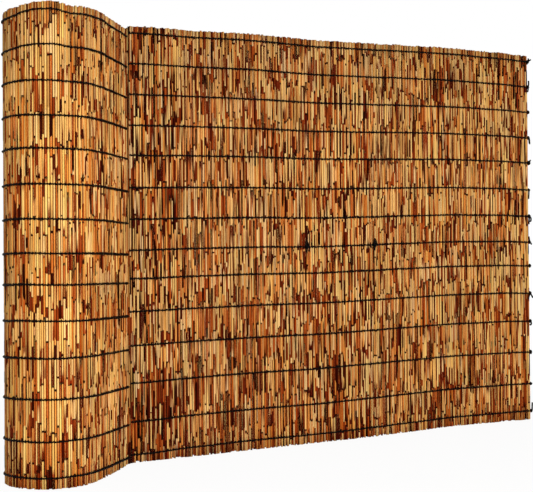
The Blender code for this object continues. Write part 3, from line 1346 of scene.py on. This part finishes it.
@dataclass
class WireEnds:
    """The knots and cut tails where the rows of wire are tied off."""

    path: MatPath
    finish: Material
    rows: list[str]
    radius: float = 0.0032
    knot_radius: float = 0.0056
    turn_points: int = 7
    slim_end: float = 0.55  # share of the knot's radius at its ends
    girth_unit: float = 7.0  # a girth of this swells the knot by its whole radius
    knot_start: float = 0.6  # share of the girth by which it reaches back past its place
    tail_front: float = 0.0042  # how far in front of the knot a tail starts
    tail_gap: float = 0.0012  # how much further forwards every second tail lies
    tail_lean: float = 0.0004  # how far forwards a tail leans from point to point
    groove: float = 0.003
    face: float = 0.0090  # from the middle of the mat to a knot on its front
    sides: int = 6
    # From the bottom row up
    free_edge: tuple[WireEnd, ...] = (
        WireEnd.HOOKED,
        WireEnd.PLAIN,
        WireEnd.WEDGED,
        WireEnd.CURLED,
        WireEnd.FORKED,
        WireEnd.KNOTTED,
        WireEnd.RAISED,
        WireEnd.LOOPED,
        WireEnd.TRAILING,
        WireEnd.BALLED,
        WireEnd.HANGING,
        WireEnd.KNOTTED,
        WireEnd.UPRIGHT,
        WireEnd.SPLAYED,
    )
    spliced_row: int = 6
    splices: tuple[float, ...] = (0.794, 1.106)

    def sizes(self) -> dict:
        """Inputs of the node tree that are the same for each piece."""
        return {"Step": self.radius, "Material": self.finish, **titled(self, "sides radius")}

    def tree(self) -> NodeTree:
        """Node tree that rounds each line and draws wire along it.

        Returns:
            The tree. Its geometry is lines whose points hold their strand's number.
        """
        tree, size, add = new_tree("tie_off", {"Count": 0.0} | self.sizes())
        curve = add("GeometryNodeMeshToCurve", size["Geometry"])
        bent = add("GeometryNodeCurveSplineType", curve, spline_type="CATMULL_ROM")
        even = add("GeometryNodeResampleCurve", bent, {"Length": size["Step"]}, mode="LENGTH")
        draw_wire(add, size, even, add("Math.MAXIMUM", size["Count"], 1.0))
        return tree

    def lines(self, tie: Tie) -> list[list[Point]]:
        """Lines of one knot and its tails.

        Args:
            tie: The knot, its tails and its place.

        Returns:
            The points of each line in the frame.
        """
        form = tie.end.value
        place, ahead, facing = self.path.stand_at(tie.distance)
        level = tie.height + self.path.lift_at(tie.distance, tie.height)

        def spot(out: float, forward: float, up: float) -> Point:
            """Place in the frame of a point counted from the knot's middle."""
            where = place + ahead * tie.outwards * out + facing * (tie.front + forward)
            return (where[0], where[1], level + up)

        knot = []
        steps = round(form.turns * self.turn_points)
        for step in range(steps + 1):
            angle = FULL_TURN * step / self.turn_points
            share = step / steps
            bulge = self.slim_end + form.girth / self.girth_unit * math.sin(math.pi * share)
            swell = self.knot_radius * bulge
            out = form.girth * 0.001 * (2 * share - self.knot_start)
            knot.append(spot(out, swell * math.cos(angle), swell * math.sin(angle)))
        lines = [knot]
        for number, tail in enumerate(form.tails):
            front = self.tail_gap * (number % 2) + self.tail_front
            places = enumerate(tail)
            lines.append(
                [spot(0.001 * x, front + self.tail_lean * i, 0.001 * z) for i, (x, z) in places]
            )
        return lines

    def build(self) -> list[Object]:
        """Ties off every row.

        Returns:
            Pieces for the knots at both ends of the mat and for the splices.
        """
        heights = wire_heights(self.rows)
        spliced = self.spliced_row
        ties = {
            "free_edge": [
                Tie(end, 0.0, z, -1.0, self.groove) for end, z in zip(self.free_edge, heights)
            ],
            "core": [Tie(WireEnd.KNOTTED, self.path.length, z, 1.0, self.groove) for z in heights],
            "splices": [
                Tie(WireEnd.SPLICED, at, heights[spliced], -1.0, self.face) for at in self.splices
            ],
        }
        tree = self.tree()
        pieces = []
        for where, chosen in ties.items():
            lines = [line for tie in chosen for line in self.lines(tie)]
            start = line_mesh(f"wire_knots_{where}", lines)
            hold(start, strand=[number for number, line in enumerate(lines) for _ in line])
            values = {"Count": float(len(lines))} | self.sizes()
            piece = grow(start, tree, values, "run strand around")
            nodes = self.rows if where != "splices" else [self.rows[spliced]]
            pieces.append(declare(piece, nodes))
        return pieces


def to_camera(add: Adder) -> Node:
    """Tells what the camera sees, also by way of gloss or glass, from the light.

    Args:
        add: The function that adds nodes to the tree.

    Returns:
        The node that gives 1 for what the camera sees.
    """
    ray = add("LightPath").outputs
    seen = ray["Is Camera Ray"]
    for name in ("Is Glossy Ray", "Is Transmission Ray"):
        seen = add("Math.MAXIMUM", seen, ray[name])
    return seen


@dataclass
class Studio:
    """Pale floor, soft light and the camera where the photographer stood."""

    eye: Point = (-2.8143, -4.1670, 0.8178)
    turn: float = math.radians(32.12)  # from +Y towards +X
    pitch: float = math.radians(0.81)
    roll: float = math.radians(-0.47)
    lens: float = 94.56
    rise: float = -0.0806
    floor_size: float = 12.0
    floor_colour: str = "#F4F3F0"
    near_floor: Pair = (1.4, 3.6)  # distances from the mat's middle
    floor_white: Pair = (0.93, 1.0)  # share of pure white at these distances
    world_light: float = 0.43
    lamp_size: Pair = (2.6, 2.0)
    lamp_place: Point = (-1.65, -4.12, 1.8)
    lamp_aim: Point = (0.0, 0.0, 0.75)
    lamp_power: float = 214.0

    def camera(self) -> None:
        """Sets up the camera, nearly level and turned towards the panel."""
        lens = bpy.data.cameras.new("camera")
        lens.lens = self.lens
        lens.shift_y = self.rise
        eye = put("camera", lens)
        eye.location = self.eye
        upright = Euler((math.pi / 2 + self.pitch, 0.0, -self.turn)).to_matrix()
        tilt = Euler((0.0, 0.0, self.roll)).to_matrix()
        eye.rotation_euler = (upright @ tilt).to_euler()
        bpy.context.scene.camera = eye

    def floor(self) -> Object:
        """Lays the floor, near white to the camera, with the shadow of the mat.

        Returns:
            The floor.
        """
        half = self.floor_size / 2
        mesh = bpy.data.meshes.new("floor")
        corners = [(-half, -half, 0.0), (half, -half, 0.0), (half, half, 0.0), (-half, half, 0.0)]
        mesh.from_pydata(corners, [], [(0, 1, 2, 3)])
        look, add = new_material("matt_white_studio_floor")
        look.node_tree.nodes.clear()
        paint = add("BsdfDiffuse", linear(self.floor_colour))
        glow = add("Emission", WHITE, {"Strength": 1.0})
        far = add("VectorMath.LENGTH", add("TexCoord").outputs["Object"]).outputs["Value"]
        span = self.near_floor + self.floor_white
        white = add("MapRange", far, *span, interpolation_type="SMOOTHSTEP")
        share = add("Math.MULTIPLY", to_camera(add), white)
        add("OutputMaterial", add("MixShader", share, paint, glow))
        mesh.materials.append(look)
        return put("floor", mesh)

    def world(self) -> None:
        """Lights the mat evenly from all round and shows white behind it."""
        world = bpy.data.worlds.new("studio")
        world.use_nodes = True
        world.node_tree.nodes.clear()
        add = partial(add_node, world.node_tree)
        soft = add("Background", WHITE, {"Strength": self.world_light})
        white = add("Background", WHITE, {"Strength": 1.0})
        add("OutputWorld", add("MixShader", to_camera(add), soft, white))
        bpy.context.scene.world = world

    def lamp(self) -> None:
        """Hangs a large soft lamp in front, above the camera's height."""
        light = bpy.data.lights.new("soft_box", "AREA")
        light.shape = "RECTANGLE"
        light.size, light.size_y = self.lamp_size
        light.energy = self.lamp_power
        lamp = put("soft_box", light)
        lamp.location = self.lamp_place
        way = Vector(self.lamp_aim) - Vector(self.lamp_place)
        lamp.rotation_euler = way.to_track_quat("-Z", "Y").to_euler()

    def build(self) -> None:
        """Sets up everything round the mat."""
        self.camera()
        self.world()
        self.lamp()
        self.floor()
        bpy.context.scene.view_settings.view_transform = "Standard"


def report(pieces: Sequence[Object]) -> None:
    """Logs each piece with its triangles, and their sum.

    Args:
        pieces: The pieces of the mat.
    """
    total = 0
    for piece in pieces:
        triangles = sum(len(face.vertices) - 2 for face in piece.data.polygons)
        log.info("%s: %d triangles", piece.name, triangles)
        total += triangles
    log.info("total: %d triangles", total)


def main() -> None:
    """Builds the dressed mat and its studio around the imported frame."""
    logging.basicConfig(level=logging.INFO, format="%(name)s %(message)s")
    for thing in list(bpy.data.objects):
        bpy.data.objects.remove(thing)
    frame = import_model()
    path = MatPath()
    line = path.helper()
    reeds = Reeds(path, line, DriedReed().material())
    pieces = reeds.build()
    rows = sorted(name for name in frame["nodes"] if name.startswith("binding_wire_"))
    wire = CoatedWire().material()
    pieces += BindingWires(path, line, wire, reeds.gaps(), rows).build()
    pieces += WireEnds(path, wire, rows).build()
    bpy.data.objects.remove(line)
    report(pieces)
    Studio().build()


if __name__ == "__main__":
    main()
